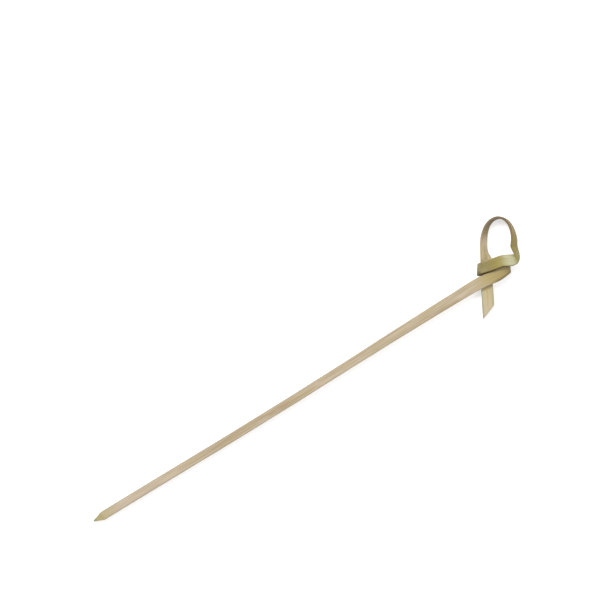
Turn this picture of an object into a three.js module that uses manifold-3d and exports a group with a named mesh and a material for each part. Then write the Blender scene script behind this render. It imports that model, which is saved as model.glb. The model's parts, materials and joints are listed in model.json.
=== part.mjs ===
// Bamboo pick: a split stick with a cut point, whose thinned end is tied in an overhand knot
// with one open eye. It is a single piece of bamboo, modelled in millimetres as it lies at rest:
// shaft along +X, eye to the +Y side, +Z up.
import * as THREE from "three";
import { ConvexHull } from "three/addons/math/ConvexHull.js";
import { mergeVertices } from "three/addons/utils/BufferGeometryUtils.js";
import Module from "manifold-3d";

const wasm = await Module();
wasm.setup();

// Shaft
const SHAFT_LENGTH = 130; // point to neck
const SHAFT_WIDTH = 2.5;
const SHAFT_THICKNESS = 2;
const SHAFT_CORNER = 0.4; // rounding of its long edges
const SHAFT_BOW = 0.4; // how far its middle lies off the straight line
const NECK_WIDTH = 3.15;
const NECK_FLARE = 50; // length over which the shaft widens to the neck
const NECK_TAPER = 13; // length over which its thickness is shaved down to the strip
const TAPER_AHEAD = 0.7; // share of that length that lies before the neck
const NECK_EASE = 4; // degrees that the stick's slope eases between neck and tail

// Point
const POINT_LENGTH = 3.2;
const POINT_OFFSET = 0.1; // of the very tip from the shaft's middle, towards the eye
const POINT_EDGE = 0.25; // width left at the very tip

// Strip that is tied
const STRIP_WIDTH = 3.45;
const STRIP_THICKNESS = 0.7;
const STRIP_CORNER = 0.2;

// Turn of the strip round its own tail, in the knot's frame: the tail runs down along -Y, the
// band crosses it towards +X, and the knot's front faces +Z
const SHAFT_SLOPE = 31.5; // degrees, shaft against the band's +X side
const BAND_SLOPE = 16.5; // degrees
const BAND_RISE = 1.75; // band's middle above the knot's middle, at the tail
const BAND_GAP = 0.35; // between the band and the strip that enters below it
const LAYER_GAP = 0.65; // between strips that cross
const TURN_CLEARANCE = 0.22; // beside the tail, inside the left turn
const TURN_REACH = 6.75; // tail's middle to the right turn
const CORNER_REACH = 8.6; // tail's middle to the corner where the band turns up
const CORNER_DROP = 0.3; // of the band's middle below its own slope at that corner

// Eye
const EYE_SPAN = 8.7; // between the middles of its two limbs
const EYE_MIDDLE = 3.75; // its middle, beside the tail
const EYE_TOP = 15.9; // its top above the knot's middle
const SHOULDER_INSET = 0.13; // share of the span that its shoulders lie inside the limbs
const RIGHT_LIMB_TWIST = 26; // degrees that the limb's outer face turns to the front
const LEFT_LIMB_TWIST = 34; // degrees that the limb's inner face turns to the front

// Tail
const TAIL_LENGTH = 13.4; // knot's middle to the tail's long corner
const TAIL_LEAN = 3; // degrees
const TAIL_CUT = 49; // degrees that the end is cut off square
const TAIL_BEVEL = 28; // degrees that the cut leans to the front

const SECTION_STEPS = 3; // points round each corner of a section
const SHAFT_ROWS = 16;
const ROWS_PER_STATION = 5;
const SPLINE_PASSES = 30; // after which a curve runs through its stations
const CUTTER_SIDE = 30; // of the block that makes a cut, larger than any section

const FRONT = new THREE.Vector3(0, 0, 1);
const deg = THREE.MathUtils.degToRad;
const smooth = (x) => THREE.MathUtils.smoothstep(x, 0, 1);
const vec = (x, y, z) => new THREE.Vector3(x, y, z);
const inPlane = (angle) => vec(Math.cos(deg(angle)), Math.sin(deg(angle)), 0);

// Heights and places that follow from the sizes
const LAYER = STRIP_THICKNESS + LAYER_GAP;
const ENTRY_LAYER = LAYER * 0.85;
const LEFT_TURN = -(STRIP_WIDTH / 2 + TURN_CLEARANCE + STRIP_THICKNESS / 2);
const ENTRY_RISE = BAND_RISE - (STRIP_WIDTH + BAND_GAP) / Math.cos(deg(BAND_SLOPE));
const bandAt = (x) => BAND_RISE + x * Math.tan(deg(BAND_SLOPE));
const shaftDirection = inPlane(SHAFT_SLOPE);
const neckEnd = vec(LEFT_TURN - STRIP_WIDTH / 2, 0, ENTRY_LAYER)
  .setY(ENTRY_RISE + (LEFT_TURN - STRIP_WIDTH / 2) * Math.tan(deg(SHAFT_SLOPE - NECK_EASE)));

// Normal of a strip that runs in the knot's plane in the direction given, turned out of that
// plane: 90 shows its outer face to the front, -90 its inner face, and 0 stands it on edge.
function turned(direction, twist) {
  const outward = inPlane(direction - 90);
  return outward.multiplyScalar(Math.cos(deg(twist))).addScaledVector(FRONT, Math.sin(deg(twist)));
}

// Stations of the strip's middle line, each with the normal of its outer face: the neck, the
// strip over the tail, round the right turn, behind the tail, round the left turn, the band over
// the front, the corner, up one limb of the eye, over its top, down the other, and the tail.
function knotStations() {
  const right = EYE_MIDDLE + EYE_SPAN / 2;
  const left = EYE_MIDDLE - EYE_SPAN / 2;
  const shoulder = EYE_TOP - EYE_SPAN / 4;
  const limb = EYE_TOP - EYE_SPAN * 0.75;
  const tail = (y) => vec(-y * Math.tan(deg(TAIL_LEAN)), y, 0);
  const stations = [];
  const at = (point, normal) => stations.push({ point, normal });

  for (const back of [12, 8, 4]) {
    at(neckEnd.clone().addScaledVector(shaftDirection, -back), FRONT);
  }
  at(neckEnd, FRONT);
  at(vec(-0.1, ENTRY_RISE - 0.1, ENTRY_LAYER + 0.1), vec(0, 0.05, 1));
  at(vec(TURN_REACH * 0.45, ENTRY_RISE + 1.2, ENTRY_LAYER), vec(0.1, 0.2, 1));
  at(vec(TURN_REACH * 0.8, ENTRY_RISE + 2.8, ENTRY_LAYER * 0.7), vec(0.6, 0.2, 0.8));
  at(vec(TURN_REACH, bandAt(TURN_REACH) - 2, -0.2), vec(1, 0.2, -0.1));
  at(vec(TURN_REACH * 0.75, bandAt(TURN_REACH) - 1.5, -LAYER), vec(0.3, 0.1, -1));
  at(vec(TURN_REACH * 0.3, BAND_RISE, -LAYER - 0.25), vec(0, 0, -1));
  at(vec(LEFT_TURN * 0.5, BAND_RISE - 0.95, -LAYER), vec(-0.3, 0, -1));
  at(vec(LEFT_TURN, BAND_RISE - 1.05, 0), vec(-1, 0.05, 0));
  at(vec(LEFT_TURN * 0.4, bandAt(LEFT_TURN * 0.4) - 0.15, LAYER), vec(-0.25, 0.05, 1));
  at(vec(TURN_REACH * 0.35, bandAt(TURN_REACH * 0.35), LAYER + 0.75), vec(0, 0, 1));
  at(vec(TURN_REACH * 0.76, bandAt(TURN_REACH * 0.76), LAYER + 0.95), vec(0.1, -0.05, 1));
  at(vec(CORNER_REACH, bandAt(CORNER_REACH) - CORNER_DROP, LAYER + 0.35), vec(0.7, -0.3, 0.65));
  at(vec(right + 0.1, bandAt(right) + 3, LAYER * 0.3), turned(86, RIGHT_LIMB_TWIST + 14));
  at(vec(right, limb, LAYER * 0.5), turned(90, RIGHT_LIMB_TWIST));
  at(vec(right - EYE_SPAN * SHOULDER_INSET, shoulder, LAYER * 0.4), turned(120, RIGHT_LIMB_TWIST * 0.6));
  at(vec(EYE_MIDDLE, EYE_TOP, 0), turned(180, 0));
  at(vec(left + EYE_SPAN * SHOULDER_INSET, shoulder, -LAYER * 0.3), turned(240, -LEFT_LIMB_TWIST * 0.6));
  at(vec(left, limb, -LAYER * 0.4), turned(270, -LEFT_LIMB_TWIST));
  at(vec(left + 0.1, bandAt(0) + 3.8, -LAYER * 0.2), turned(270, -LEFT_LIMB_TWIST - 8));
  at(vec(0.15, bandAt(0) + 0.7, -0.05), turned(270, -86));
  for (const share of [0.1, 0.4, 0.7, 1, 1.3]) {
    at(tail(-TAIL_LENGTH * share), turned(270, -90));
  }
  return stations;
}

// Uniform cubic B-spline through the given vectors: its control points are moved until the
// curve runs through every one.
function splineThrough(vectors) {
  const pick = (list, i) => list[Math.min(Math.max(i, 0), list.length - 1)];
  let control = vectors.map((v) => v.clone());
  for (let pass = 0; pass < SPLINE_PASSES; pass++) {
    control = control.map((c, i) => {
      const on = pick(control, i - 1).clone().add(pick(control, i + 1)).addScaledVector(c, 4);
      return c.clone().add(vectors[i]).addScaledVector(on, -1 / 6);
    });
  }
  return (u) => {
    const i = Math.floor(u);
    const f = u - i;
    const weights = [(1 - f) ** 3, 3 * f ** 3 - 6 * f * f + 4, 0, f ** 3];
    weights[2] = 6 - weights[0] - weights[1] - weights[3];
    const sum = vec(0, 0, 0);
    weights.forEach((w, k) => sum.addScaledVector(pick(control, i - 1 + k), w / 6));
    return sum;
  };
}

// Outline of a section: u across the strip, v through it, with its outer face at half a strip's
// thickness, so that a thicker section grows on the inner side only.
function section(width, thickness, corner) {
  const r = Math.min(corner, thickness * 0.45, width * 0.45);
  const outline = [];
  for (const [sideU, sideV, start] of [[1, 1, 0], [-1, 1, 90], [-1, -1, 180], [1, -1, 270]]) {
    for (let k = 0; k < SECTION_STEPS; k++) {
      const a = deg(start + (90 * k) / (SECTION_STEPS - 1));
      const u = sideU * (width / 2 - r) + r * Math.cos(a);
      const v = sideV * (thickness / 2 - r) + r * Math.sin(a);
      outline.push([u, v + (STRIP_THICKNESS - thickness) / 2]);
    }
  }
  return outline;
}

// Rows of points along the whole stick, from the point to the tail
function stickRows() {
  const rows = [];
  const row = (point, along, normal, outline) => {
    const n = normal.clone().addScaledVector(along, -normal.dot(along)).normalize();
    const across = along.clone().cross(n);
    rows.push(
      outline.map(([u, v]) => point.clone().addScaledVector(across, u).addScaledVector(n, v)),
    );
  };

  const stations = knotStations();
  const path = splineThrough(stations.map((s) => s.point));
  const normals = splineThrough(stations.map((s) => s.normal.clone().normalize()));
  const start = stations[0].point;
  const straight = SHAFT_LENGTH - neckEnd.distanceTo(start);
  const side = shaftDirection.clone().cross(FRONT);

  for (let i = 0; i < SHAFT_ROWS; i++) {
    const s = (straight * i) / SHAFT_ROWS;
    const bow = SHAFT_BOW * Math.sin((Math.PI * s) / straight) ** 2;
    const point = start.clone().addScaledVector(shaftDirection, s - straight);
    point.addScaledVector(side, bow);
    const flare = smooth((s - SHAFT_LENGTH + NECK_FLARE) / NECK_FLARE);
    const width = THREE.MathUtils.lerp(SHAFT_WIDTH, NECK_WIDTH, flare);
    row(point, shaftDirection, FRONT, section(width, SHAFT_THICKNESS, SHAFT_CORNER));
  }

  const last = stations.length - 1;
  let walked = straight;
  let before = path(0);
  for (let k = 0; k <= last * ROWS_PER_STATION; k++) {
    const u = k / ROWS_PER_STATION;
    const point = path(u);
    walked += point.distanceTo(before);
    before = point;
    const along = path(Math.min(u + 0.01, last)).sub(path(Math.max(u - 0.01, 0))).normalize();
    const flare = smooth((walked - SHAFT_LENGTH + NECK_FLARE) / NECK_FLARE);
    const thinned = smooth((walked - SHAFT_LENGTH + NECK_TAPER * TAPER_AHEAD) / NECK_TAPER);
    const neckWidth = THREE.MathUtils.lerp(SHAFT_WIDTH, NECK_WIDTH, flare);
    const width = THREE.MathUtils.lerp(neckWidth, STRIP_WIDTH, thinned);
    const thickness = THREE.MathUtils.lerp(SHAFT_THICKNESS, STRIP_THICKNESS, thinned);
    const corner = THREE.MathUtils.lerp(SHAFT_CORNER, STRIP_CORNER, thinned);
    row(point, along, normals(u), section(width, thickness, corner));
  }
  return rows;
}

// Closed skin over rows of points, with a flat face on each end
function loft(rows) {
  const count = rows[0].length;
  const faces = [];
  for (let i = 0; i + 1 < rows.length; i++) {
    for (let k = 0; k < count; k++) {
      const a = i * count + k;
      const b = i * count + ((k + 1) % count);
      faces.push(a, b + count, b, a, a + count, b + count);
    }
  }
  const end = (rows.length - 1) * count;
  for (let k = 1; k + 1 < count; k++) {
    faces.push(0, k, k + 1, end, end + k + 1, end + k);
  }
  return new THREE.BufferGeometry().setFromPoints(rows.flat()).setIndex(faces);
}

function solid(geometry) {
  const bare = geometry.clone();
  bare.deleteAttribute("normal");
  bare.deleteAttribute("uv");
  const merged = mergeVertices(bare, 1e-4);
  return new wasm.Manifold(
    new wasm.Mesh({
      numProp: 3,
      vertProperties: merged.attributes.position.array,
      triVerts: new Uint32Array(merged.index.array),
    }),
  );
}

// Takes away what lies beyond the plane through a point with the outward normal given
function cutBeyond(body, point, normal) {
  const block = new THREE.BoxGeometry(CUTTER_SIDE, CUTTER_SIDE, CUTTER_SIDE);
  block.translate(0, 0, CUTTER_SIDE / 2);
  const turn = new THREE.Quaternion().setFromUnitVectors(FRONT, normal.clone().normalize());
  block.applyQuaternion(turn).translate(point.x, point.y, point.z);
  return body.subtract(solid(block));
}

// Four facets that meet in a narrow edge
function cutPoint(body) {
  const side = shaftDirection.clone().cross(FRONT);
  const tip = neckEnd.clone().addScaledVector(shaftDirection, -SHAFT_LENGTH);
  tip.addScaledVector(side, -POINT_OFFSET);
  tip.addScaledVector(FRONT, STRIP_THICKNESS / 2 - SHAFT_THICKNESS / 2);
  const facet = (across, half) => {
    const edge = tip.clone().addScaledVector(across, POINT_EDGE / 2);
    const normal = across.clone().multiplyScalar(POINT_LENGTH);
    normal.addScaledVector(shaftDirection, -(half - POINT_EDGE / 2));
    return cutBeyond(body, edge, normal);
  };
  body = facet(side, SHAFT_WIDTH / 2 + POINT_OFFSET);
  body = facet(side.clone().negate(), SHAFT_WIDTH / 2 - POINT_OFFSET);
  body = facet(FRONT.clone(), SHAFT_THICKNESS / 2);
  return facet(FRONT.clone().negate(), SHAFT_THICKNESS / 2);
}

// Slanted cut that leaves the tail longer on its left
function cutTail(body) {
  const end = vec(
    TAIL_LENGTH * Math.tan(deg(TAIL_LEAN)) - STRIP_WIDTH / 2,
    -TAIL_LENGTH,
    STRIP_THICKNESS / 2,
  );
  const normal = inPlane(TAIL_CUT - 90 + TAIL_LEAN);
  normal.multiplyScalar(Math.cos(deg(TAIL_BEVEL)));
  normal.addScaledVector(FRONT, Math.sin(deg(TAIL_BEVEL)));
  return cutBeyond(body, end, normal);
}

// Turn that lays the stick down at rest, front up: the face of its convex hull that lies under
// its centre of mass, of those the one that tilts it least, goes flat on the ground.
function restingTurn(geometry) {
  const at = geometry.attributes.position;
  const points = [];
  for (let i = 0; i < at.count; i++) points.push(new THREE.Vector3().fromBufferAttribute(at, i));

  const centre = vec(0, 0, 0);
  let volume = 0;
  const index = geometry.index.array;
  for (let i = 0; i < index.length; i += 3) {
    const [a, b, c] = [points[index[i]], points[index[i + 1]], points[index[i + 2]]];
    const share = a.dot(b.clone().cross(c)) / 6;
    volume += share;
    centre.addScaledVector(a.clone().add(b).add(c), share / 4);
  }
  centre.divideScalar(volume);

  let down = null;
  for (const face of new ConvexHull().setFromPoints(points).faces) {
    const n = face.normal;
    const foot = centre.clone().addScaledVector(n, face.constant - n.dot(centre));
    const corners = [face.getEdge(0), face.getEdge(1), face.getEdge(2)].map((e) => e.head().point);
    const inside = corners.every((corner, k) => {
      const edge = corners[(k + 1) % 3].clone().sub(corner);
      return edge.cross(foot.clone().sub(corner)).dot(n) >= 0;
    });
    if (inside && (!down || n.z < down.z)) down = n.clone();
  }
  const lay = new THREE.Quaternion().setFromUnitVectors(down, vec(0, 0, -1));
  const lain = shaftDirection.clone().applyQuaternion(lay);
  const yaw = new THREE.Quaternion().setFromAxisAngle(FRONT, -Math.atan2(lain.y, lain.x));
  return yaw.multiply(lay);
}

function pickGeometry() {
  let body = solid(loft(stickRows()));
  body = cutTail(cutPoint(body));
  const mesh = body.getMesh();
  const geometry = new THREE.BufferGeometry()
    .setAttribute("position", new THREE.BufferAttribute(mesh.vertProperties, 3))
    .setIndex(new THREE.BufferAttribute(mesh.triVerts, 1));
  geometry.applyQuaternion(restingTurn(geometry));
  geometry.computeBoundingBox();
  const box = geometry.boundingBox;
  const middle = box.getCenter(new THREE.Vector3());
  geometry.translate(-middle.x, -middle.y, -box.min.z);
  geometry.computeVertexNormals();
  return geometry;
}

const bamboo = new THREE.MeshStandardMaterial({ color: 0xd9bd8b, roughness: 0.55, metalness: 0 });

const bambooPick = new THREE.Mesh(pickGeometry(), bamboo);
bambooPick.name = "bamboo_pick";

const part = new THREE.Group();
part.add(bambooPick);

export default part;
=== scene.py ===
# Bamboo pick: a split stick with a cut point and an overhand knot, lying on a pale floor.
import json
import math

import bmesh
import bpy
from bpy.props import FloatProperty, FloatVectorProperty, IntProperty, PointerProperty
from mathutils import Matrix, Vector, noise


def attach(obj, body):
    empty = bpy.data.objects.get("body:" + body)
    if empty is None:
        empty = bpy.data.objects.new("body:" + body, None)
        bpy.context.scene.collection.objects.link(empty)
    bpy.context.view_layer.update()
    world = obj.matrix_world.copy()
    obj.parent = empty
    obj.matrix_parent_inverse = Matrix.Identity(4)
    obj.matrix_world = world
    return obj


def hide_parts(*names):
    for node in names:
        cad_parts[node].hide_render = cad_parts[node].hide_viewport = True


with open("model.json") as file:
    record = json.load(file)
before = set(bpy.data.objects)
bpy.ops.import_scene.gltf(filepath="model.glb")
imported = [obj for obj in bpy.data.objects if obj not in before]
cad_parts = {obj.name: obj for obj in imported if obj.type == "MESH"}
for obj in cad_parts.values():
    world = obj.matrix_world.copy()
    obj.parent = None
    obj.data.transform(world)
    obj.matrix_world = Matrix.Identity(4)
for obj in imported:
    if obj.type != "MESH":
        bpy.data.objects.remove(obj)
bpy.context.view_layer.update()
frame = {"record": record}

bl_info = {
    "name": "Bamboo Pick",
    "version": (1, 0, 0),
    "blender": (4, 5, 0),
    "location": "3D View > Sidebar > Bamboo Pick",
    "description": "Builds a bamboo pick tied in an overhand knot, and a pale studio round it",
    "category": "Object",
}

MM = 0.001
FRONT = Vector((0, 0, 1))
# Vertex attribute with each point's place in the untied stick: along, across and through it
STICK = "stick"

# Share of the neck's thinning that lies ahead of the neck, and how much flatter than the shaft the
# line from the knot's middle to the neck runs
TAPER_AHEAD = 0.7
NECK_EASE = math.radians(4)
# How high the strip crosses over the tail where it enters the knot, as a share of a layer
ENTRY_HEIGHT = 0.85
# How far the eye's shoulders lie inside its limbs, as a share of the eye's span
SHOULDER_INSET = 0.13
SPLINE_PASSES = 30

# Mesh of the stick: steps along each side of a section and round its corners, and rows
ACROSS_STEPS = 16
THROUGH_STEPS = 5
CORNER_STEPS = 4
LARGEST_ROUNDING = 0.45
ROWS_PER_STATION = 14
SHAFT_ROW_STEP = 0.6 * MM
CUT_TOLERANCE = 1e-8
# Stretches that the cuts may touch: at the point, in lengths of the point, and at the tail
POINT_STRETCH = 4
TAIL_STRETCH = 0.9

# Relief of the surface: noise over the untied stick, in waves per metre along it, and across and
# through it
FINE_FIBRE = (90, 5200)
COARSE_FIBRE = (40, 1500)
EDGE_WAVES = 110
SEED_STEP = 7.3
# Where the split edges and the outer skin begin, and over how much they come in, as shares of half
# the strip's width and thickness, and the skin's share of the relief
EDGE_START, EDGE_FADE = 0.55, 0.35
SKIN_START, SKIN_FADE = 0.7, 0.3
SKIN_RELIEF = 0.35

# Shader noise over the untied stick: stretch along it, scale, detail and roughness
STREAK_NOISE = (0.03, 1700, 3, 0.6)
FIBRE_NOISE = (0.02, 6500, 2, 0.55)
MOTTLE_NOISE = (0.35, 420, 3, 0.6)
# How far the strip's colours shift with the mottling, as a share of their span
UNEVEN_FRONT = 0.04

# Lengths over which masks change. From the point's tip: its grey-green tip, its olive wood, the
# bleached stretch behind it, and where cut ends count as the tail's
TIP_GREY = (0.2 * MM, 1.6 * MM)
POINT_STAIN = (2 * MM, 10 * MM)
BLEACHED = (14 * MM, 48 * MM)
TAIL_END = (20 * MM, 60 * MM)
# From the outer face down: the skin. From the middle line: the shaft's long edges, greyed with
# painted shade. From the edge in: the strip's split edge, and how far the tail's green sides waver
SKIN_DEPTH = (0.12 * MM, 0.3 * MM)
SHAFT_EDGE_SHADE = (0.85 * MM, 1.2 * MM)
SPLIT_EDGE = (0.3 * MM, 0.1 * MM)
SIDE_WAVER = 1.2 * MM
# Past the neck, in millimetres: where the shaft's wood gives way to the strip, and the tail
TIED = (-6, 3)
TAIL = (66, 71)

# Stretch of the stick that the strip's colours span: its start ahead of the neck, its length
STRIP_LEAD = 10 * MM
STRIP_SPAN = 100 * MM
# Colours along the inner face, the outer face and the split edges: millimetres past the neck, and
# the name of the colour there. Over the eye's top they hold painted shade on the strip's own
# brown, and down the left limb painted shade and a painted highlight on the inner face.
PITH_STOPS = (
    (-10, "wood"), (48, "top"), (53, "top"), (56.5, "pith_shaded"), (59.5, "pith_highlight"),
    (61.5, "pith"), (66, "pith"), (70, "tail"), (83, "tail_end"),
)
SKIN_STOPS = (
    (-10, "wood"), (0, "wood"), (5, "entry"), (9.5, "entry_end"), (12, "skin_dark"),
    (26, "skin_dark"), (29, "skin"), (31.2, "skin_light"), (33, "skin_pale"),
    (34.2, "skin_pale"), (35.4, "skin_green"), (37.6, "limb"), (45, "limb_high"),
    (50, "top"), (56, "limb"), (84, "skin_light"),
)
EDGE_STOPS = (
    (33, "edge"), (38, "limb"), (48, "edge_top_shade"), (54, "edge_top_shade"), (61, "edge"),
)
# Painted shade on the strip: along its lower edge where it rolls away towards the right turn, a
# painted shadow where the band bears on the strip below it, and painted shade where it bends hard
# round the tail. Each has the millimetres past the neck over which it comes and over which it
# goes, its strength, the millimetres from the lower edge over which it fades or None for the full
# width, and its colour.
PAINTED_SHADES = (
    ((4, 8.5), (15, 18), 0.8, (1.1, 0.1), "entry_edge_shade"),
    ((23, 25), (35, 38), 0.95, (0.45, 0.1), "crease_shade"),
    ((22, 23), (23.8, 25), 0.55, None, "crease_shade"),
)
BUMP_HEIGHT = 0.05 * MM

# Studio: the picture's side in pixels, half the floor's side, the camera's clipping as a share of
# its distance and in metres, and the lamps by name, place in metres from the pick in the knot's
# own axes, width in metres and share of the key light's power
PICTURE_SIDE = 600
FLOOR_HALF = 4.0
CLIP_NEAR_SHARE = 0.05
CLIP_FAR = 20
LAMPS = (
    ("key", Vector((-0.25, 0.35, 0.6)), 0.35, 1),
    ("rim", Vector((0.5, -0.2, 0.5)), 0.5, 0.35),
)


def srgb(red, green, blue):
    """A colour given as 0 to 255 screen values, in Blender's linear values."""
    def linear(value):
        value /= 255
        return value / 12.92 if value <= 0.04045 else ((value + 0.055) / 1.055) ** 2.4
    return linear(red), linear(green), linear(blue)


def length(name, description, millimetres):
    return FloatProperty(
        name=name, description=description, default=millimetres * MM, unit="LENGTH", precision=5
    )


def angle(name, description, degrees):
    return FloatProperty(
        name=name, description=description, default=math.radians(degrees), unit="ROTATION"
    )


def colour(name, description, red, green, blue):
    return FloatVectorProperty(
        name=name, description=description, default=srgb(red, green, blue),
        subtype="COLOR", size=3, min=0, max=1,
    )


class PickSizes(bpy.types.PropertyGroup):
    """Sizes of the pick"""

    shaft_length: length("Shaft length", "Point to neck", 130)
    shaft_width: length("Shaft width", "Width near the point", 2.5)
    shaft_thickness: length("Shaft thickness", "Thickness of the shaft", 2)
    shaft_corner: length("Shaft corner", "Rounding of the shaft's long edges", 0.4)
    shaft_bow: length("Bow", "How far the shaft's middle lies off the straight line", 0.4)
    neck_width: length("Neck width", "Width where the shaft becomes the strip", 3.15)
    neck_flare: length("Neck flare", "Length over which the shaft widens", 50)
    neck_taper: length("Neck taper", "Length over which the shaft is shaved thin", 13)
    point_length: length("Point length", "Length of the cut point", 3.2)
    point_offset: length("Point offset", "Very tip beside the shaft's middle", 0.1)
    point_edge: length("Point edge", "Width left at the very tip", 0.25)
    strip_width: length("Strip width", "Width of the tied strip", 3.45)
    strip_thickness: length("Strip thickness", "Thickness of the tied strip", 0.7)
    strip_corner: length("Strip corner", "Rounding of the strip's edges", 0.2)
    shaft_slope: angle("Shaft slope", "Shaft against the knot's right side", 31.5)
    band_slope: angle("Band slope", "Slope of the band across the front", 16.5)
    band_rise: length("Band rise", "Band's middle above the knot's middle", 1.75)
    band_gap: length("Band gap", "Between the band and the strip below it", 0.35)
    layer_gap: length("Layer gap", "Between strips that cross", 0.65)
    turn_clearance: length("Turn clearance", "Beside the tail, inside the left turn", 0.22)
    turn_reach: length("Turn reach", "Tail's middle to the right turn", 6.75)
    corner_reach: length("Corner reach", "Tail's middle to the band's corner", 8.6)
    corner_drop: length("Corner drop", "Band's middle below its slope at the corner", 0.3)
    eye_span: length("Eye span", "Between the middles of the eye's limbs", 8.7)
    eye_middle: length("Eye middle", "Eye's middle beside the tail", 3.75)
    eye_top: length("Eye top", "Top of the eye above the knot's middle", 15.9)
    right_limb_twist: angle("Right limb twist", "Outer face turned to the front", 30)
    left_limb_twist: angle("Left limb twist", "Inner face turned to the front", 34)
    tail_length: length("Tail length", "Knot's middle to the tail's long corner", 13.4)
    tail_lean: angle("Tail lean", "Tail against the vertical", 3)
    tail_cut: angle("Tail cut", "End of the tail cut off square", 49)
    tail_bevel: angle("Tail bevel", "Cut of the tail leaning to the front", 28)
    fibre_relief: length("Fibre relief", "Height of the fibres on the split faces", 0.02)
    edge_wander: length("Edge wander", "How far the split edges wander", 0.05)
    seed: IntProperty(name="Seed", description="Picks another set of fibres", default=3, min=0)


class PickColours(bpy.types.PropertyGroup):
    """Colours of the bamboo"""

    wood: colour("Wood", "Split wood of the shaft", 200, 183, 154)
    wood_pale: colour("Pale wood", "Paler patches of the shaft", 212, 196, 173)
    wood_streak: colour("Wood streak", "Darker fibres", 179, 157, 123)
    wood_olive: colour("Olive wood", "Olive patches of the shaft", 188, 174, 122)
    point: colour("Point", "Olive wood at the point", 186, 174, 124)
    point_tip: colour("Point's tip", "Grey-green wood at the very tip", 150, 152, 118)
    # Painted shade on the long edges of the shaft, towards the point
    shaft_edge_shade: colour("Shaft edge", "Greyed long edges of the shaft", 170, 156, 138)
    entry: colour("Entry", "Outer face over the tail", 186, 167, 112)
    entry_end: colour("Entry end", "Outer face before the right turn", 176, 156, 104)
    # Painted shade on the entry's lower edge, where the strip rolls away before the right turn
    entry_edge_shade: colour("Entry's lower edge", "Darker edge before the right turn", 120, 104, 66)
    skin: colour("Skin", "Outer face of the band, olive brown", 160, 145, 80)
    skin_dark: colour("Dark skin", "Outer face round the left turn", 148, 135, 88)
    skin_light: colour("Light skin", "Outer face along the band", 170, 157, 96)
    skin_pale: colour("Pale skin", "Outer face where it is scuffed pale", 206, 202, 162)
    skin_green: colour("Green skin", "Outer face at the band's corner", 162, 154, 74)
    limb: colour("Limb", "Outer face up the eye", 152, 136, 64)
    limb_high: colour("High limb", "Outer face near the top of the eye", 150, 126, 50)
    # The strip's own brown over the eye's top, darkened with painted shade
    top: colour("Top", "Both faces over the eye's top, brownish", 127, 109, 84)
    pith: colour("Pith", "Inner face of the strip", 222, 205, 160)
    # Painted shade on the inner face past the top of the eye
    pith_shaded: colour("Dark pith", "Inner face past the top of the eye", 170, 151, 102)
    # Painted highlight on the left limb's inner face
    pith_highlight: colour("Pale pith", "Inner face where it is bruised pale", 230, 212, 182)
    tail: colour("Tail", "Inner face of the tail", 206, 186, 126)
    tail_edge: colour("Tail edge", "Greener sides of the tail", 194, 189, 156)
    tail_side: colour("Tail side", "Darker right side of the tail", 180, 171, 128)
    tail_end: colour("Tail end", "Inner face at the tail's end", 212, 197, 172)
    edge: colour("Edge", "Split edge of the strip", 172, 154, 122)
    # Painted shade on the split edge over the top of the eye
    edge_top_shade: colour("Top edge", "Split edge over the top of the eye", 128, 110, 86)
    # Painted shadow along the band's lower edge where it bears on the strip below, and painted
    # shade round the band's left bend
    crease_shade: colour("Crease", "Stained lower edge of the band", 78, 64, 32)
    end_grain: colour("End grain", "Cut ends", 222, 205, 180)


class StageSettings(bpy.types.PropertyGroup):
    """Floor, light and camera"""

    floor: FloatVectorProperty(
        name="Floor", description="Colour of the floor", default=(0.9, 0.9, 0.9),
        subtype="COLOR", size=3, min=0, max=1,
    )
    floor_glow: FloatProperty(
        name="Floor glow", description="Lifts the floor to white in the picture alone",
        default=0.5, min=0, max=1,
    )
    lens: FloatProperty(
        name="Lens", description="Focal length of the camera", default=0.1,
        unit="CAMERA", min=0.02, max=0.3,
    )
    millimetres_per_pixel: FloatProperty(
        name="Scale", description="Millimetres that one pixel of the picture covers", default=0.292
    )
    knot_pixel: FloatVectorProperty(
        name="Knot pixel", description="Where the knot's middle lies in the picture",
        default=(486.2, 272.0), size=2,
    )
    roll: angle("Roll", "Turn of the picture about the knot", 0.25)
    key_power: FloatProperty(
        name="Key light", description="Power of the main lamp", default=3.4, unit="POWER"
    )
    fill_strength: FloatProperty(
        name="Fill light", description="Strength of the soft light all round", default=0.42
    )


# Shape of the stick

def smooth(value):
    value = min(max(value, 0), 1)
    return value * value * (3 - 2 * value)


def lerp(a, b, share):
    return a + (b - a) * share


def in_plane(radians):
    return Vector((math.cos(radians), math.sin(radians), 0))


def turned(degrees, twist):
    """Normal of a strip that runs in the knot's plane in the direction given: a twist of a
    quarter turn shows its outer face to the front, and none stands it on edge."""
    outward = in_plane(math.radians(degrees - 90))
    return outward * math.cos(twist) + FRONT * math.sin(twist)


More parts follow.
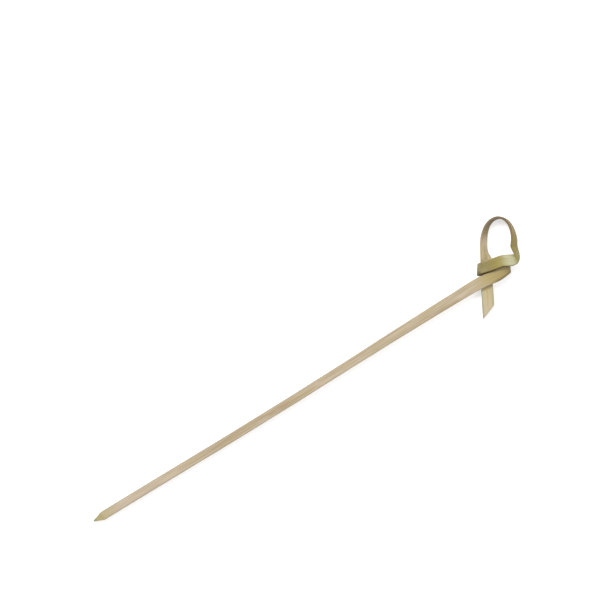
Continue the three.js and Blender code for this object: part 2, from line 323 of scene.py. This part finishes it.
class Knot:
    """Places that follow from the sizes, in the knot's own frame: the tail runs down along -Y,
    the band crosses it towards +X, and the knot's front faces +Z."""

    def __init__(self, sizes):
        self.sizes = sizes
        s = sizes
        self.layer = s.strip_thickness + s.layer_gap
        self.entry_layer = self.layer * ENTRY_HEIGHT
        self.left_turn = -(s.strip_width / 2 + s.turn_clearance + s.strip_thickness / 2)
        self.entry_rise = s.band_rise - (s.strip_width + s.band_gap) / math.cos(s.band_slope)
        self.along_shaft = in_plane(s.shaft_slope)
        neck_x = self.left_turn - s.strip_width / 2
        neck_y = self.entry_rise + neck_x * math.tan(s.shaft_slope - NECK_EASE)
        self.neck = Vector((neck_x, neck_y, self.entry_layer))
        self.side = self.along_shaft.cross(FRONT)

    def tip(self):
        """Middle of the point's very tip."""
        s = self.sizes
        tip = self.neck - self.along_shaft * s.shaft_length - self.side * s.point_offset
        return tip + FRONT * (s.strip_thickness - s.shaft_thickness) / 2

    def band_at(self, x):
        return self.sizes.band_rise + x * math.tan(self.sizes.band_slope)

    def stations(self):
        """The strip's middle line from ahead of the neck to past the tail's end, as pairs of a
        point and the normal of the outer face. The offsets in MM are chosen so that the
        strip clears itself and lies as a tied one does."""
        s, layer, entry, left_turn = self.sizes, self.layer, self.entry_layer, self.left_turn
        reach, rise, band = s.turn_reach, self.entry_rise, self.band_at
        right = s.eye_middle + s.eye_span / 2
        left = s.eye_middle - s.eye_span / 2
        inset = s.eye_span * SHOULDER_INSET
        shoulder = s.eye_top - s.eye_span / 4
        limb = s.eye_top - s.eye_span * 0.75
        corner = s.corner_reach
        listed = []

        def at(point, normal):
            listed.append((Vector(point), Vector(normal).normalized()))

        for back in (12, 8, 4, 0):
            at(self.neck - self.along_shaft * back * MM, FRONT)
        # Over the tail, and round the right turn
        at((-0.1 * MM, rise - 0.1 * MM, entry + 0.1 * MM), (0, 0.05, 1))
        at((reach * 0.45, rise + 1.2 * MM, entry), (0.1, 0.2, 1))
        at((reach * 0.8, rise + 2.8 * MM, entry * 0.7), (0.6, 0.2, 0.8))
        at((reach, band(reach) - 2 * MM, -0.2 * MM), (1, 0.2, -0.1))
        # Behind the tail, and round the left turn
        at((reach * 0.75, band(reach) - 1.5 * MM, -layer), (0.3, 0.1, -1))
        at((reach * 0.3, s.band_rise, -layer - 0.25 * MM), (0, 0, -1))
        at((left_turn * 0.5, s.band_rise - 0.95 * MM, -layer), (-0.3, 0, -1))
        at((left_turn, s.band_rise - 1.05 * MM, 0), (-1, 0.05, 0))
        # The band over the front, and its corner
        at((left_turn * 0.4, band(left_turn * 0.4) - 0.15 * MM, layer), (-0.25, 0.05, 1))
        at((reach * 0.35, band(reach * 0.35), layer + 0.75 * MM), FRONT)
        at((reach * 0.76, band(reach * 0.76), layer + 0.95 * MM), (0.1, -0.05, 1))
        at((corner, band(corner) - s.corner_drop, layer + 0.35 * MM), (0.7, -0.3, 0.65))
        # Up one limb of the eye, over its top and down the other
        at((right + 0.1 * MM, band(right) + 3 * MM, layer * 0.3),
           turned(86, s.right_limb_twist + math.radians(5)))
        at((right, limb, layer * 0.5), turned(90, s.right_limb_twist))
        at((right - inset, shoulder, layer * 0.4), turned(120, s.right_limb_twist * 0.6))
        at((s.eye_middle, s.eye_top, 0), turned(180, 0))
        at((left + inset, shoulder, -layer * 0.3), turned(240, -s.left_limb_twist * 0.6))
        at((left, limb, -layer * 0.4), turned(270, -s.left_limb_twist))
        at((left + 0.1 * MM, band(0) + 3.8 * MM, -layer * 0.2),
           turned(270, -s.left_limb_twist - math.radians(8)))
        # Through the turn, and out as the tail
        at((0.15 * MM, band(0) + 0.7 * MM, -0.05 * MM), turned(270, math.radians(-86)))
        for share in (0.1, 0.4, 0.7, 1, 1.3):
            y = -s.tail_length * share
            at((-y * math.tan(s.tail_lean), y, 0), turned(270, math.radians(-90)))
        return listed


def spline_through(vectors):
    """Uniform cubic B-spline whose control points are moved until it runs through every vector."""
    last = len(vectors) - 1

    def pick(points, i):
        return points[min(max(i, 0), last)]

    control = [v.copy() for v in vectors]
    for _ in range(SPLINE_PASSES):
        control = [
            c + vectors[i] - (pick(control, i - 1) + pick(control, i + 1) + c * 4) / 6
            for i, c in enumerate(control)
        ]

    def curve(u):
        i = math.floor(u)
        f = u - i
        first, second, fourth = (1 - f) ** 3, 3 * f ** 3 - 6 * f * f + 4, f ** 3
        weights = (first, second, 6 - first - second - fourth, fourth)
        total = Vector((0, 0, 0))
        for k, weight in enumerate(weights):
            total += pick(control, i - 1 + k) * (weight / 6)
        return total

    return curve


def outline(width, thickness, corner, strip_thickness):
    """Points (across, through) round a section whose outer face keeps its height."""
    r = min(corner, thickness * LARGEST_ROUNDING, width * LARGEST_ROUNDING)
    drop = (strip_thickness - thickness) / 2
    half_u, half_v = width / 2 - r, thickness / 2 - r
    points = []
    runs = (
        (1, 1, 0, ACROSS_STEPS), (-1, 1, 90, THROUGH_STEPS),
        (-1, -1, 180, ACROSS_STEPS), (1, -1, 270, THROUGH_STEPS),
    )
    for k, (side_u, side_v, start, steps) in enumerate(runs):
        for i in range(CORNER_STEPS + 1):
            a = math.radians(start + 90 * i / CORNER_STEPS)
            points.append(
                (side_u * half_u + r * math.cos(a), side_v * half_v + r * math.sin(a) + drop)
            )
        next_u, next_v = runs[(k + 1) % 4][:2]
        end = math.radians(start + 90)
        from_u, from_v = points[-1]
        to_u = next_u * half_u + r * math.cos(end)
        to_v = next_v * half_v + r * math.sin(end) + drop
        for i in range(1, steps):
            points.append((lerp(from_u, to_u, i / steps), lerp(from_v, to_v, i / steps)))
    return points


def stick_rows(sizes, knot):
    """Rows along the stick, each a list of (place, place in the untied stick, outward)."""
    rows = []
    stations = knot.stations()
    path = spline_through([point for point, _ in stations])
    normals = spline_through([normal for _, normal in stations])
    start = stations[0][0]
    straight = sizes.shaft_length - (knot.neck - start).length

    def row(point, along, normal, walked, thinned):
        flare = smooth((walked - sizes.shaft_length + sizes.neck_flare) / sizes.neck_flare)
        neck_width = lerp(sizes.shaft_width, sizes.neck_width, flare)
        width = lerp(neck_width, sizes.strip_width, thinned)
        thickness = lerp(sizes.shaft_thickness, sizes.strip_thickness, thinned)
        corner = lerp(sizes.shaft_corner, sizes.strip_corner, thinned)
        n = (normal - along * normal.dot(along)).normalized()
        across = along.cross(n)
        section = outline(width, thickness, corner, sizes.strip_thickness)
        count = len(section)
        made = []
        for k, (u, v) in enumerate(section):
            du = section[(k + 1) % count][0] - section[k - 1][0]
            dv = section[(k + 1) % count][1] - section[k - 1][1]
            outward = (across * dv - n * du).normalized()
            made.append((point + across * u + n * v, Vector((walked, u, v)), outward))
        rows.append(made)

    shaft_rows = round(straight / SHAFT_ROW_STEP)
    for i in range(shaft_rows):
        walked = straight * i / shaft_rows
        bow = sizes.shaft_bow * math.sin(math.pi * walked / straight) ** 2
        point = start + knot.along_shaft * (walked - straight) + knot.side * bow
        row(point, knot.along_shaft, FRONT, walked, 0)

    last = len(stations) - 1
    walked, before = straight, path(0)
    for k in range(last * ROWS_PER_STATION + 1):
        u = k / ROWS_PER_STATION
        point = path(u)
        walked += (point - before).length
        before = point
        along = (path(min(u + 0.01, last)) - path(max(u - 0.01, 0))).normalized()
        taper = sizes.neck_taper
        thinned = smooth((walked - sizes.shaft_length + taper * TAPER_AHEAD) / taper)
        row(point, along, normals(u), walked, thinned)
    return rows


def relief(sizes, stick):
    """Height of the surface at a place of the untied stick: long fibres, coarser on the split
    inner face and edges than on the outer skin, and edges that wander."""
    along, u, v = stick
    seed = sizes.seed * SEED_STEP

    def fibres(scales, shift):
        lengthwise, crosswise = scales
        return noise.noise(Vector((along * lengthwise + shift, u * crosswise, v * crosswise)))

    fine, coarse = fibres(FINE_FIBRE, seed), fibres(COARSE_FIBRE, -seed)
    wander = noise.noise(Vector((along * EDGE_WAVES, seed, 4.0 if u > 0 else 9.0)))
    to_edge = smooth((abs(u) / (sizes.strip_width / 2) - EDGE_START) / EDGE_FADE)
    skin = smooth((v / (sizes.strip_thickness / 2) - SKIN_START) / SKIN_FADE)
    rough = lerp(1, SKIN_RELIEF, skin * (1 - to_edge))
    return sizes.fibre_relief * rough * (0.6 * fine + 0.4 * coarse) + (
        sizes.edge_wander * to_edge * wander * (1 - skin * 0.5)
    )


def cut(mesh, faces, point, normal, material):
    """Cuts those faces off beyond a plane and closes the hole with a flat face."""
    # Each part once and in a fixed order, so that the mesh comes out the same each run
    parts = dict.fromkeys(part for face in faces for part in (face, *face.verts, *face.edges))
    result = bmesh.ops.bisect_plane(
        mesh, geom=list(parts), plane_co=point, plane_no=normal, dist=CUT_TOLERANCE,
        clear_outer=True,
    )
    rim = [e for e in result["geom_cut"] if isinstance(e, bmesh.types.BMEdge)]
    filled = bmesh.ops.contextual_create(mesh, geom=rim)["faces"]
    for face in filled:
        face.material_index = material
        face.smooth = False


def mount(name):
    return next(m for m in frame["record"]["mounts"] if m["name"] == name)


def resting_turn(knot):
    """Turn from the knot's frame to the frame the pick lies in, from the shaft's flat face."""
    up = Vector(mount("shaft_front")["axis"]).normalized()
    along = Vector((up.z, 0, -up.x)).normalized()
    lain = Matrix((along, up.cross(along), up)).transposed()
    tied = Matrix((knot.along_shaft, -knot.side, FRONT)).transposed()
    return lain @ tied.transposed()


def pick_mesh(sizes, knot):
    """The stick's mesh in the frame it lies in, with its untied places as an attribute."""
    bm = bmesh.new()
    stick_layer = bm.verts.layers.float_vector.new(STICK)

    def faces_within(low, high):
        return [f for f in bm.faces if all(low < v[stick_layer].x < high for v in f.verts)]

    rows = []
    for made in stick_rows(sizes, knot):
        line = []
        for place, stick, outward in made:
            vert = bm.verts.new(place + outward * relief(sizes, stick))
            vert[stick_layer] = stick
            line.append(vert)
        rows.append(line)
    count = len(rows[0])
    for first, second in zip(rows, rows[1:]):
        for k in range(count):
            n = (k + 1) % count
            bm.faces.new((first[k], second[k], second[n], first[n])).smooth = True
    bm.faces.new(rows[0])
    bm.faces.new(list(reversed(rows[-1])))
    bm.normal_update()

    half_width, half_thickness = sizes.shaft_width / 2, sizes.shaft_thickness / 2
    facets = (
        (knot.side, half_width + sizes.point_offset),
        (-knot.side, half_width - sizes.point_offset),
        (FRONT, half_thickness), (-FRONT, half_thickness),
    )
    for across, half in facets:
        normal = across * sizes.point_length - knot.along_shaft * (half - sizes.point_edge / 2)
        cut(bm, faces_within(-math.inf, POINT_STRETCH * sizes.point_length),
            knot.tip() + across * sizes.point_edge / 2, normal.normalized(), 1)

    end = rows[-1][0][stick_layer].x
    tail = faces_within(end - TAIL_STRETCH * sizes.tail_length, math.inf)
    across_tail = sizes.tail_length * math.tan(sizes.tail_lean) - sizes.strip_width / 2
    corner = Vector((across_tail, -sizes.tail_length, sizes.strip_thickness / 2))
    normal = in_plane(sizes.tail_cut - math.pi / 2 + sizes.tail_lean) * math.cos(sizes.tail_bevel)
    normal += FRONT * math.sin(sizes.tail_bevel)
    cut(bm, tail, corner, normal, 1)

    bm.transform(resting_turn(knot).to_4x4())
    bmesh.ops.recalc_face_normals(bm, faces=bm.faces)
    lows = [min(v.co[i] for v in bm.verts) for i in range(3)]
    highs = [max(v.co[i] for v in bm.verts) for i in range(3)]
    shift = Vector((-(lows[0] + highs[0]) / 2, -(lows[1] + highs[1]) / 2, -lows[2]))
    bmesh.ops.translate(bm, verts=bm.verts, vec=shift)
    mesh = bpy.data.meshes.new("pick")
    bm.to_mesh(mesh)
    bm.free()
    return mesh


# Materials

class Nodes:
    """Short forms for making and joining the nodes of one tree."""

    def __init__(self, tree):
        self.tree = tree

    def add(self, kind, inputs=None, **settings):
        node = self.tree.nodes.new(kind)
        for key, value in settings.items():
            setattr(node, key, value)
        for key, value in (inputs or {}).items():
            self.feed(node.inputs[key], value)
        return node

    def feed(self, socket, value):
        if isinstance(value, bpy.types.NodeSocket):
            self.tree.links.new(value, socket)
        elif socket.type == "RGBA" and len(value) == 3:
            socket.default_value = (*value, 1)
        else:
            socket.default_value = value

    def math(self, operation, a, b=0.0):
        return self.add("ShaderNodeMath", {0: a, 1: b}, operation=operation).outputs[0]

    def times(self, a, b):
        return self.math("MULTIPLY", a, b)

    def steps(self, value, low, high, to_low=0.0, to_high=1.0):
        node = self.add(
            "ShaderNodeMapRange",
            {"Value": value, "From Min": low, "From Max": high,
             "To Min": to_low, "To Max": to_high},
            interpolation_type="SMOOTHSTEP",
        )
        return node.outputs["Result"]

    def mix(self, share, a, b, blend="MIX"):
        node = self.add("ShaderNodeMix", data_type="RGBA", blend_type=blend)
        self.feed(node.inputs[0], share)
        self.feed(node.inputs[6], a)
        self.feed(node.inputs[7], b)
        return node.outputs[2]

    def ramp(self, value, stops):
        node = self.add("ShaderNodeValToRGB", {"Fac": value})
        elements = node.color_ramp.elements
        while len(elements) < len(stops):
            elements.new(0.5)
        for element, (position, shade) in zip(elements, stops):
            element.position = position
            element.color = (*shade, 1)
        return node.outputs["Color"]

    def noise(self, vector, scale, detail, roughness):
        node = self.add(
            "ShaderNodeTexNoise",
            {"Vector": vector, "Scale": scale, "Detail": detail, "Roughness": roughness},
        )
        return node.outputs["Fac"]


def fibre_group():
    """Shader group: streaks that run along the untied stick, coarse and fine, and the height
    that they give the surface."""
    if "Bamboo Fibre" in bpy.data.node_groups:
        return bpy.data.node_groups["Bamboo Fibre"]
    tree = bpy.data.node_groups.new("Bamboo Fibre", "ShaderNodeTree")
    socket = tree.interface.new_socket
    socket("Stick", in_out="INPUT", socket_type="NodeSocketVector")
    socket("Length", in_out="INPUT", socket_type="NodeSocketFloat").default_value = 1
    for name in ("Streaks", "Fibres", "Mottle", "Height"):
        socket(name, in_out="OUTPUT", socket_type="NodeSocketFloat")
    n = Nodes(tree)
    source = n.add("NodeGroupInput")
    goal = n.add("NodeGroupOutput")
    parts = n.add("ShaderNodeSeparateXYZ", {0: source.outputs["Stick"]})
    along = n.times(parts.outputs["X"], source.outputs["Length"])

    def stretched_noise(stretch, scale, detail, roughness):
        place = n.add("ShaderNodeCombineXYZ", {
            "X": n.times(along, stretch), "Y": parts.outputs["Y"], "Z": parts.outputs["Z"],
        }).outputs[0]
        return n.noise(place, scale, detail, roughness)

    streaks = stretched_noise(*STREAK_NOISE)
    fibres = stretched_noise(*FIBRE_NOISE)
    mottle = stretched_noise(*MOTTLE_NOISE)
    height = n.math("ADD", n.times(streaks, 0.4), n.times(fibres, 0.6))
    for name, value in (
        ("Streaks", streaks), ("Fibres", fibres), ("Mottle", mottle), ("Height", height),
    ):
        n.feed(goal.inputs[name], value)
    return tree


def strip_share(millimetres):
    """Place along the strip, as its share of the colours' span, of a length past the neck."""
    return (millimetres * MM + STRIP_LEAD) / STRIP_SPAN


class BambooNodes(Nodes):
    """A new material with the untied stick's place and its fibres."""

    def __init__(self, name, sizes, colours, length):
        self.material = bpy.data.materials.new(name)
        self.material.use_nodes = True
        super().__init__(self.material.node_tree)
        self.sizes, self.colours = sizes, colours
        self.shader = self.tree.nodes["Principled BSDF"]
        stick = self.add("ShaderNodeAttribute", attribute_name=STICK).outputs["Vector"]
        parts = self.add("ShaderNodeSeparateXYZ", {0: stick}).outputs
        self.along, self.across, self.through = parts["X"], parts["Y"], parts["Z"]
        self.fibre = self.add(
            "ShaderNodeGroup", {"Stick": stick, "Length": length}, node_tree=fibre_group()
        ).outputs

    def walk(self):
        """Share of the colours' span walked along the strip, with an uneven front."""
        ahead = self.sizes.shaft_length - STRIP_LEAD
        place = self.add(
            "ShaderNodeMapRange",
            {"Value": self.along, "From Min": ahead, "From Max": ahead + STRIP_SPAN},
        ).outputs["Result"]
        uneven = self.times(self.math("SUBTRACT", self.fibre["Mottle"], 0.5), UNEVEN_FRONT)
        self.place = self.math("ADD", place, uneven)

    def past(self, low, high, to_low=0.0, to_high=1.0):
        """Mask that changes between two lengths past the neck, in millimetres."""
        return self.steps(self.place, strip_share(low), strip_share(high), to_low, to_high)

    def stops(self, table):
        """Colours of the strip that change along it as the table says."""
        return self.ramp(self.place, [
            (strip_share(millimetres), getattr(self.colours, name)) for millimetres, name in table
        ])

    def finish(self, shade, bump_strength):
        self.feed(self.shader.inputs["Base Color"], shade)
        bump = self.add("ShaderNodeBump", {
            "Height": self.fibre["Height"], "Distance": BUMP_HEIGHT, "Strength": bump_strength,
        })
        self.feed(self.shader.inputs["Normal"], bump.outputs["Normal"])
        return self.material


def wood_shade(n):
    """Split wood: darker fibres, pale and olive patches, bleached towards the point."""
    colours, mottle = n.colours, n.fibre["Mottle"]
    wood = n.mix(n.steps(n.fibre["Streaks"], 0.4, 0.7), colours.wood, colours.wood_streak)
    wood = n.mix(n.times(n.steps(mottle, 0.5, 0.75), 0.5), wood, colours.wood_pale)
    wood = n.mix(n.steps(mottle, 0.3, 0.5, 0.45, 0), wood, colours.wood_olive)
    return n.mix(n.steps(n.along, *BLEACHED, 0.6, 0), wood, colours.wood_pale)


def pith_shade(n, aside, half):
    """Inner face of the strip, whose tail is greener towards its sides and darker towards the
    right.
    """
    streaks, colours = n.fibre["Streaks"], n.colours
    pith = n.stops(PITH_STOPS)
    in_tail = n.past(*TAIL)
    margin = n.math("ADD", aside, n.times(n.math("SUBTRACT", streaks, 0.5), SIDE_WAVER))
    beside = n.times(in_tail, n.steps(margin, half * 0.35, half * 0.8))
    pith = n.mix(beside, pith, colours.tail_edge)
    darker_right = n.steps(n.across, half * 0.45, half * 0.95, 0, 0.6)
    pith = n.mix(n.times(in_tail, darker_right), pith, colours.tail_side)
    return n.mix(n.times(n.steps(streaks, 0.45, 0.75), 0.55), pith, colours.wood_streak)


def bamboo_material(sizes, colours):
    """Split bamboo: tan wood with darker fibres, an olive skin on the strip's outer face that
    fades towards the shaft, paler where it is scuffed, with painted shade where it is bent hard,
    over the eye's top and along its edges, a painted shadow under the band and a painted highlight
    down the left limb."""
    n = BambooNodes("Split bamboo", sizes, colours, 1.0)
    n.walk()
    mottle = n.fibre["Mottle"]
    half = sizes.strip_width / 2
    aside = n.math("ABSOLUTE", n.across)
    depth = n.math("SUBTRACT", sizes.strip_thickness / 2, n.through)
    in_skin = n.steps(depth, *SKIN_DEPTH, 1, 0)
    tied = n.past(*TIED)

    wood = wood_shade(n)
    skin = n.stops(SKIN_STOPS)
    skin = n.mix(n.times(n.steps(mottle, 0.55, 0.8), 0.3), skin, colours.skin_pale)
    inner = n.mix(tied, wood, pith_shade(n, aside, half))
    shade = n.mix(in_skin, inner, n.mix(tied, wood, skin))
    far, near = SPLIT_EDGE
    on_edge = n.times(tied, n.steps(aside, half - far, half - near, 0, 0.7))
    shade = n.mix(on_edge, shade, n.stops(EDGE_STOPS))

    # Painted shade and shadow along the strip's edges and round its bends, from the table above
    for comes, goes, strength, from_edge, painted_shade in PAINTED_SHADES:
        mask = n.times(n.past(*comes), n.past(*goes, strength, 0))
        if from_edge:
            far, near = from_edge
            mask = n.times(mask, n.steps(n.across, half - far * MM, half - near * MM))
        shade = n.mix(mask, shade, getattr(colours, painted_shade))

    fine = n.steps(n.fibre["Fibres"], 0.35, 0.7, 0.88, 1.08)
    grey = n.add("ShaderNodeCombineXYZ", {"X": fine, "Y": fine, "Z": fine}).outputs[0]
    shade = n.mix(1.0, shade, grey, "MULTIPLY")
    # Olive where the point was cut through the skin, and painted shade greying the long edges on
    # that half
    shade = n.mix(n.steps(n.along, *POINT_STAIN, 0.75, 0), shade, colours.point)
    side = n.steps(aside, *SHAFT_EDGE_SHADE, 0, 0.6)
    to_point = n.steps(n.along, sizes.shaft_length * 0.5, sizes.shaft_length, 1, 0)
    shade = n.mix(n.times(side, to_point), shade, colours.shaft_edge_shade)

    n.shader.inputs["Specular IOR Level"].default_value = 0.3
    rough = n.math("ADD", n.times(in_skin, -0.18), 0.6)
    n.feed(n.shader.inputs["Roughness"], n.math("ADD", rough, n.times(mottle, 0.12)))
    return n.finish(shade, 0.5)


def end_material(sizes, colours):
    """Cut ends: pale cut fibres at the tail and olive ones at the point, greyer at its tip."""
    n = BambooNodes("Cut ends", sizes, colours, 3.0)
    point = n.mix(n.steps(n.along, *TIP_GREY), colours.point_tip, colours.point)
    shade = n.mix(n.steps(n.along, *TAIL_END), point, colours.end_grain)
    streaks = n.times(n.steps(n.fibre["Streaks"], 0.4, 0.75), 0.5)
    n.shader.inputs["Roughness"].default_value = 0.75
    return n.finish(n.mix(streaks, shade, colours.wood_streak), 0.6)


class OBJECT_OT_bamboo_pick(bpy.types.Operator):
    """Build the pick: its stick with the knot, point and tail, and its bamboo"""

    bl_idname = "object.bamboo_pick"
    bl_label = "Bamboo Pick"
    bl_options = {"REGISTER", "UNDO"}

    def execute(self, context):
        sizes, colours = context.scene.pick_sizes, context.scene.pick_colours
        knot = Knot(sizes)
        mesh = pick_mesh(sizes, knot)
        mesh.materials.append(bamboo_material(sizes, colours))
        mesh.materials.append(end_material(sizes, colours))
        pick = bpy.data.objects.new("knotted_bamboo_pick", mesh)
        context.scene.collection.objects.link(pick)
        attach(pick, "root")
        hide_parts("bamboo_pick")
        return {"FINISHED"}


# Studio

def knot_middle(knot):
    """The knot's middle as the pick lies: the shaft's flat face gives the turn, and the point's
    mount the place."""
    return Vector(mount("point")["pos_m"]) - resting_turn(knot) @ knot.tip()


class OBJECT_OT_pick_stage(bpy.types.Operator):
    """Lay a pale floor, soft lamps and a camera that looks down on the pick"""

    bl_idname = "object.pick_stage"
    bl_label = "Studio"
    bl_options = {"REGISTER", "UNDO"}

    def execute(self, context):
        stage = context.scene.stage_settings
        knot = Knot(context.scene.pick_sizes)
        turn = resting_turn(knot)
        self.make_floor(context, stage)
        self.make_light(context, stage, turn)
        self.make_camera(context, stage, turn, knot_middle(knot))
        return {"FINISHED"}

    def make_floor(self, context, stage):
        mesh = bpy.data.meshes.new("floor")
        corners = [
            (x * FLOOR_HALF, y * FLOOR_HALF, 0) for x, y in ((-1, -1), (1, -1), (1, 1), (-1, 1))
        ]
        mesh.from_pydata(corners, [], [(0, 1, 2, 3)])
        material = bpy.data.materials.new("Pale floor")
        material.use_nodes = True
        shader = material.node_tree.nodes["Principled BSDF"]
        shader.inputs["Base Color"].default_value = (*stage.floor, 1)
        shader.inputs["Roughness"].default_value = 0.9
        n = Nodes(material.node_tree)
        path = n.add("ShaderNodeLightPath").outputs
        seen = n.math("MAXIMUM", path["Is Camera Ray"], path["Is Glossy Ray"])
        seen = n.math("MAXIMUM", seen, path["Is Transmission Ray"])
        shader.inputs["Emission Color"].default_value = (1, 1, 1, 1)
        n.feed(shader.inputs["Emission Strength"], n.times(seen, stage.floor_glow))
        mesh.materials.append(material)
        floor = bpy.data.objects.new("floor", mesh)
        context.scene.collection.objects.link(floor)

    def make_light(self, context, stage, turn):
        world = bpy.data.worlds.new("Studio")
        world.use_nodes = True
        background = world.node_tree.nodes["Background"]
        background.inputs["Color"].default_value = (1, 1, 1, 1)
        background.inputs["Strength"].default_value = stage.fill_strength
        context.scene.world = world
        for name, offset, size, share in LAMPS:
            data = bpy.data.lights.new(name, "AREA")
            data.shape = "DISK"
            data.size = size
            data.energy = stage.key_power * share
            lamp = bpy.data.objects.new(name, data)
            lamp.location = turn @ offset
            lamp.rotation_mode = "QUATERNION"
            lamp.rotation_quaternion = (-lamp.location).to_track_quat("-Z", "Y")
            context.scene.collection.objects.link(lamp)

    def make_camera(self, context, stage, turn, middle):
        data = bpy.data.cameras.new("camera")
        data.lens = stage.lens / MM
        camera = bpy.data.objects.new("camera", data)
        scale = stage.millimetres_per_pixel * MM
        aim_x = (PICTURE_SIDE / 2 - stage.knot_pixel[0]) * scale
        aim_y = (stage.knot_pixel[1] - PICTURE_SIDE / 2) * scale
        distance = data.lens / data.sensor_width * PICTURE_SIDE * scale
        rolled = turn @ Matrix.Rotation(-stage.roll, 3, "Z")
        camera.location = middle + rolled @ Vector((aim_x, aim_y, distance))
        camera.rotation_mode = "QUATERNION"
        camera.rotation_quaternion = rolled.to_quaternion()
        data.clip_start = distance * CLIP_NEAR_SHARE
        data.clip_end = CLIP_FAR
        context.scene.collection.objects.link(camera)
        context.scene.camera = camera


class VIEW3D_PT_bamboo_pick(bpy.types.Panel):
    """Sizes, colours and steps of the bamboo pick"""

    bl_label = "Bamboo Pick"
    bl_idname = "VIEW3D_PT_bamboo_pick"
    bl_space_type = "VIEW_3D"
    bl_region_type = "UI"
    bl_category = "Bamboo Pick"

    def draw(self, context):
        layout = self.layout
        layout.operator(OBJECT_OT_bamboo_pick.bl_idname)
        layout.operator(OBJECT_OT_pick_stage.bl_idname)
        scene = context.scene
        for group in (scene.pick_sizes, scene.pick_colours, scene.stage_settings):
            box = layout.box()
            for name in group.__class__.__annotations__:
                box.prop(group, name)


CLASSES = (
    PickSizes, PickColours, StageSettings,
    OBJECT_OT_bamboo_pick, OBJECT_OT_pick_stage, VIEW3D_PT_bamboo_pick,
)


def register():
    for cls in CLASSES:
        bpy.utils.register_class(cls)
    bpy.types.Scene.pick_sizes = PointerProperty(type=PickSizes)
    bpy.types.Scene.pick_colours = PointerProperty(type=PickColours)
    bpy.types.Scene.stage_settings = PointerProperty(type=StageSettings)


def unregister():
    del bpy.types.Scene.stage_settings
    del bpy.types.Scene.pick_colours
    del bpy.types.Scene.pick_sizes
    for cls in reversed(CLASSES):
        bpy.utils.unregister_class(cls)


def main():
    register()
    bpy.context.scene.view_settings.view_transform = "Standard"
    bpy.ops.object.bamboo_pick()
    bpy.ops.object.pick_stage()


if __name__ == "__main__":
    main()
